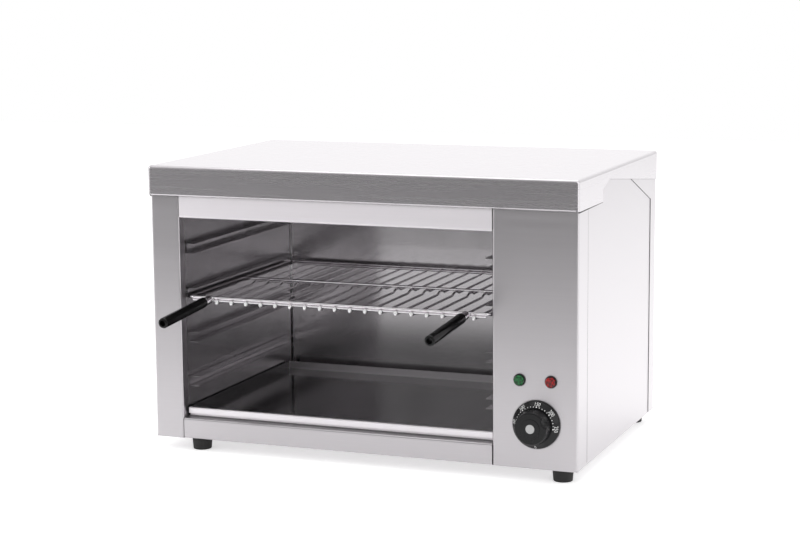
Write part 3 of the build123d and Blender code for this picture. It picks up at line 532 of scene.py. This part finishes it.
def lump(middle, radii, seed, rings=8, sides=12):
    """An uneven drop of weld metal, as (points, faces)."""
    points = [middle + Vector((0, -radii[1], 0))]
    for ring in range(1, rings):
        polar = math.pi * ring / rings
        for side in range(sides):
            turn = 2 * math.pi * side / sides
            rough = 1 + 0.08 * math.sin(3 * turn + seed) * math.sin(2 * polar + 1.7 * seed)
            points.append(middle + Vector((
                radii[0] * math.sin(polar) * math.cos(turn) * rough,
                -radii[1] * math.cos(polar),
                radii[2] * math.sin(polar) * math.sin(turn) * rough,
            )))
    points.append(middle + Vector((0, radii[1], 0)))
    last = len(points) - 1
    faces = []
    for side in range(sides):
        following = (side + 1) % sides
        faces.append((0, 1 + side, 1 + following))
        tail = 1 + (rings - 2) * sides
        faces.append((last, tail + following, tail + side))
        for ring in range(rings - 2):
            here = 1 + ring * sides
            faces.append((here + side, here + sides + side,
                          here + sides + following, here + following))
    return points, faces


def joined(parts):
    """Several (points, faces) as one."""
    points = []
    faces = []
    for part_points, part_faces in parts:
        first = len(points)
        points.extend(part_points)
        faces.extend(tuple(first + i for i in face) for face in part_faces)
    return points, faces


BAR_COUNT = 19
BAR_RADIUS = 1.6 * MM
BEAD_RADII = (2.6 * MM, 2.4 * MM, 3.0 * MM)
BEAD_RISE = 1.2 * MM         # from a bar's axis to its bead's middle
HANDLE_WELD_RADII = (6.0 * MM, 4.0 * MM, 4.4 * MM)
HANDLE_ROD_RADIUS = 2.5 * MM
HANDLE_WELD_DROP = 3.4 * MM  # from the top of the rod to the weld's middle


def make_rack_welds():
    """Weld drops on the front ends of the bars and where the handle rods meet the wires."""
    low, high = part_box("rack_bars")
    first = low.x + BAR_RADIUS
    pitch = (high.x - low.x - 2 * BAR_RADIUS) / (BAR_COUNT - 1)
    parts = []
    for index in range(BAR_COUNT):
        middle = Vector((
            first + index * pitch,
            low.y + BEAD_RADII[1] * 0.8,
            low.z + BAR_RADIUS + BEAD_RISE,
        ))
        parts.append(lump(middle, BEAD_RADII, index))
    rod_low, rod_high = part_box("rack_handle_rods")
    for index, x in enumerate((rod_low.x + HANDLE_ROD_RADIUS, rod_high.x - HANDLE_ROD_RADIUS)):
        middle = Vector((x, rod_high.y - 0.5 * MM, rod_high.z - HANDLE_WELD_DROP))
        parts.append(lump(middle, HANDLE_WELD_RADII, seed=5 + index, rings=12, sides=20))
    bright = brushed_steel("weld_steel", 0.95, 0.42, tint=NO_TINT)
    piece = add_piece("rack_weld_beads", *joined(parts), bright, "rack", "rack_chrome")
    round_off(piece)


def upright_rod(x, y, z0, z1, radius, sides=12):
    """A round rod from z0 up to z1, as (points, faces)."""
    points = []
    for z in (z0, z1):
        for side in range(sides):
            turn = 2 * math.pi * side / sides
            points.append(Vector((x + radius * math.cos(turn), y + radius * math.sin(turn), z)))
    faces = [(i, (i + 1) % sides, sides + (i + 1) % sides, sides + i) for i in range(sides)]
    faces.append(tuple(reversed(range(sides))))
    faces.append(tuple(range(sides, 2 * sides)))
    return points, faces


CORNER_BEAD = 1.2 * MM       # the bead's radius


def make_corner_beads():
    """Weld beads in the cavity's two rear corners, their steel far brighter than the liner's as a
    painted highlight down each corner.
    """
    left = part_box("cavity_left_wall")[1].x
    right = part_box("cavity_right_wall")[0].x
    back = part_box("cavity_back_wall")[0].y
    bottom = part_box("cavity_floor")[1].z
    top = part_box("cavity_ceiling")[0].z
    inset = CORNER_BEAD * 0.6
    parts = [upright_rod(x, back - inset, bottom, top, CORNER_BEAD)
             for x in (left + inset, right - inset)]
    # painted highlight: the beads' tone is raised well past the liner's
    bright = plated("bead_steel_highlight", (0.85, 0.84, 0.85), (0.97, 0.96, 0.97), 0.3)
    piece = add_piece("cavity_corner_beads", *joined(parts), bright, "housing", "cavity_steel")
    round_off(piece)


def side_strip(plane_x, outward, path, proud):
    """A strip on a side of the housing, proud of it, as (points, faces). The path's points
    (y, z, width) are on one edge of it, and the width reaches to the left of the path's
    direction with +Y to the right, or to the right of it where it is negative."""
    points = []
    for index, (y, z, width) in enumerate(path):
        before = path[max(index - 1, 0)]
        after = path[min(index + 1, len(path) - 1)]
        run = Vector((after[0] - before[0], after[1] - before[1])).normalized()
        step_y, step_z = Vector((-run.y, run.x)) * width
        for x in (plane_x, plane_x + outward * proud):
            points.append(Vector((x, y, z)))
            points.append(Vector((x, y + step_y, z + step_z)))
    faces = [(0, 1, 3, 2)]
    for index in range(len(path) - 1):
        here = 4 * index
        for a, b in ((0, 1), (1, 3), (3, 2), (2, 0)):
            faces.append((here + a, here + b, here + 4 + b, here + 4 + a))
    last = 4 * (len(path) - 1)
    faces.append((last, last + 2, last + 3, last + 1))
    return points, faces


NOTCH_START = 110.0 * MM     # from the cover's front edge to the step in its side return
NOTCH_TOP = 16.5 * MM        # the step's height
REAR_FLANGE = 32.0 * MM      # width of the back panel's flange on each side
GUSSET_REACH = 139.0 * MM    # from the rear to the front tip of that flange's gusset
GUSSET_DROP = 26.0 * MM      # from the cover's top down to the tip
GUSSET_HEIGHT = 39.5 * MM
# how far the strips of painted shade stand off the sides, under the cover and in the control
# panel's seam
SHADE_STRIP_PROUD = 0.45 * MM
SEAM_PROUD = 0.05 * MM
EDGE_PROUD = 0.7 * MM
EDGE_WIDTH = 1.0 * MM


def return_shade_paths(front, under, rear, tip):
    """Paths of painted shade on a side: under the cover's return, up its step, and a wedge
    over the gusset. They widen where the shade they stand for widens."""
    notch = front + NOTCH_START
    below_return = [
        (front + 5 * MM, under + 0.4 * MM, -2.6 * MM),
        (notch, under + 0.4 * MM, -1.5 * MM),
    ]
    up_step = [
        (notch - 0.5 * MM, under - 1.0 * MM, -4.5 * MM),
        (notch - 0.5 * MM, under + 9 * MM, -2.5 * MM),
        (notch - 0.5 * MM, under + NOTCH_TOP, -0.3 * MM),
    ]
    over_gusset = [
        (rear - 95 * MM, tip + 2 * MM, -0.3 * MM),
        (rear - 45 * MM, tip - 2 * MM, -1.4 * MM),
        (rear - 1 * MM, tip - 9 * MM, -3.4 * MM),
    ]
    return below_return, up_step, over_gusset


def make_side_details():
    """Painted shade on the sides, as black strips, and the raised front edges of the back panel's
    flanges.
    """
    cover_low, cover_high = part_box("top_cover")
    body_low, body_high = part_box("back_panel")
    rear = body_high.y
    bottom = body_low.z
    under = cover_low.z
    tip = cover_high.z - GUSSET_DROP
    flange_edge = [
        (rear - REAR_FLANGE, bottom, -EDGE_WIDTH),
        (rear - REAR_FLANGE, tip - GUSSET_HEIGHT, -EDGE_WIDTH),
        (rear - GUSSET_REACH, tip, -EDGE_WIDTH),
    ]
    shade_strips = []
    edges = []
    for x, outward in ((body_low.x, -1), (body_high.x, 1)):
        for path in return_shade_paths(cover_low.y, under, rear, tip):
            shade_strips.append(side_strip(x, outward, path, SHADE_STRIP_PROUD))
        edges.append(side_strip(x, outward, flange_edge, EDGE_PROUD))
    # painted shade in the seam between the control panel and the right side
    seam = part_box("control_panel")[1].y
    panel_seam_shade = [
        (seam, bottom + 2 * MM, -0.9 * MM),
        (seam, bottom + 130 * MM, -0.6 * MM),
        (seam, under - 3 * MM, -0.3 * MM),
    ]
    shade_strips.append(side_strip(body_high.x, 1, panel_seam_shade, SEAM_PROUD))
    # painted shade: black strips stand for the shade under the cover's return, at its step, over
    # the gusset and in the seam
    shade_black = plastic("painted_shade_black", (0.004,) * 3, (0.012,) * 3, 0.6)
    add_piece("cover_painted_shade", *joined(shade_strips), shade_black, "housing", "gland_plastic")
    steel = brushed_steel("edge_steel", 0.5, 0.3)
    add_piece("flange_edges", *joined(edges), steel, "housing", "housing_steel")


# ---------------------------------------------------------------- studio
WHITE = (1.0, 1.0, 1.0, 1.0)
FLOOR_FRONT = -1.25          # the white table ends here, and the dark room begins
FLOOR_BACK = 4.5
FLOOR_SIDE = 4.0
FLOOR_PAINT = (0.85, 0.85, 0.85, 1.0)
FLOOR_GLOW = 0.5             # share of the floor's white that is not lit by the lamps
FADED_GLOW = 0.08            # the same at the front, as the steel sees it
FADE_START = -1.2            # where along Y the fade begins and ends
FADE_END = 0.4
ROOM_BEHIND = 0.95           # what the steel sees behind and above the object
ROOM_AHEAD = 0.4             # above the table's level in the room in front of it
ROOM_LOW = 0.1               # and below that level
ROOM_LEFT = 0.75


def make_floor():
    """White table that keeps the shadow and shows white in the picture and in the steel."""
    mesh = bpy.data.meshes.new("floor")
    corners = [(-FLOOR_SIDE, FLOOR_FRONT, 0), (FLOOR_SIDE, FLOOR_FRONT, 0),
               (FLOOR_SIDE, FLOOR_BACK, 0), (-FLOOR_SIDE, FLOOR_BACK, 0)]
    mesh.from_pydata(corners, [], [(0, 1, 2, 3)])
    floor = bpy.data.objects.new("floor", mesh)
    bpy.context.scene.collection.objects.link(floor)
    material = bpy.data.materials.new("floor_white")
    material.use_nodes = True
    material.node_tree.nodes.clear()
    tree = Nodes(material.node_tree)
    paint = tree.node("ShaderNodeBsdfDiffuse")
    paint.inputs["Color"].default_value = FLOOR_PAINT
    glow = tree.node("ShaderNodeEmission")
    glow.inputs["Color"].default_value = WHITE
    depth = tree.split(tree.node("ShaderNodeTexCoord").outputs["Object"])["Y"]
    faded = tree.ranged(depth, FADED_GLOW, FLOOR_GLOW, FADE_START, FADE_END)
    path = tree.node("ShaderNodeLightPath").outputs
    indirect = tree.math("MAXIMUM", path["Is Glossy Ray"], path["Is Transmission Ray"])
    in_steel = tree.math("MULTIPLY", indirect, faded)
    to_camera = tree.math("MULTIPLY", path["Is Camera Ray"], FLOOR_GLOW)
    tree.link(tree.math("MAXIMUM", in_steel, to_camera), glow.inputs["Strength"])
    total = tree.node("ShaderNodeAddShader")
    tree.link(paint.outputs["BSDF"], total.inputs[0])
    tree.link(glow.outputs["Emission"], total.inputs[1])
    output = tree.node("ShaderNodeOutputMaterial")
    tree.link(total.outputs["Shader"], output.inputs["Surface"])
    mesh.materials.append(material)


def make_room():
    """White behind the object and to the camera, darker in front, lighter again at the left."""
    world = bpy.data.worlds.new("room")
    bpy.context.scene.world = world
    world.use_nodes = True
    world.node_tree.nodes.clear()
    tree = Nodes(world.node_tree)
    toward = tree.split(tree.node("ShaderNodeTexCoord").outputs["Generated"])
    in_front = tree.ranged(toward["Z"], ROOM_LOW, ROOM_AHEAD, -0.12, 0.1, smooth=True)
    behind = tree.ranged(toward["Y"], 0.0, ROOM_BEHIND, -0.75, 0.1, smooth=True)
    left = tree.ranged(toward["X"], ROOM_LEFT, 0.0, -0.85, -0.45, smooth=True)
    above = tree.ranged(toward["Z"], 0.0, ROOM_BEHIND, 0.35, 0.85, smooth=True)
    level = tree.math("MAXIMUM", in_front, behind)
    path = tree.node("ShaderNodeLightPath").outputs
    for share in (left, above, path["Is Camera Ray"]):
        level = tree.math("MAXIMUM", level, share)
    background = tree.node("ShaderNodeBackground")
    background.inputs["Color"].default_value = WHITE
    tree.link(level, background.inputs["Strength"])
    output = tree.node("ShaderNodeOutputWorld")
    tree.link(background.outputs["Background"], output.inputs["Surface"])


LAMP_TARGET = Vector((0, 0, 0.2))
LAMPS = (                    # name, place, size, watts
    ("overhead", (0, 0.2, 2.4), (2.4, 1.8), 19),
    ("front_left", (-2.3, -1.7, 1.3), (1.0, 1.6), 14),
    ("front_right", (1.9, -2.6, 1.6), (0.9, 1.2), 8),
    ("right", (2.3, -0.8, 0.8), (1.0, 1.5), 7.5),
    ("behind", (-0.9, 2.9, 1.15), (3.6, 1.5), 5.8),
)


def make_lamp(name, place, size, watts):
    """A soft rectangular lamp that points at the object's middle."""
    data = bpy.data.lights.new(name, "AREA")
    data.shape = "RECTANGLE"
    data.size, data.size_y = size
    data.energy = watts
    lamp = bpy.data.objects.new(name, data)
    lamp.location = place
    aim = LAMP_TARGET - Vector(place)
    lamp.rotation_euler = aim.to_track_quat("-Z", "Y").to_euler()
    bpy.context.scene.collection.objects.link(lamp)


make_camera()
dress_steel()
dress_fittings()
make_rack_welds()
make_corner_beads()
make_side_details()
make_dial_print()
make_floor()
make_room()
for lamp in LAMPS:
    make_lamp(*lamp)
bpy.context.scene.view_settings.view_transform = "Standard"
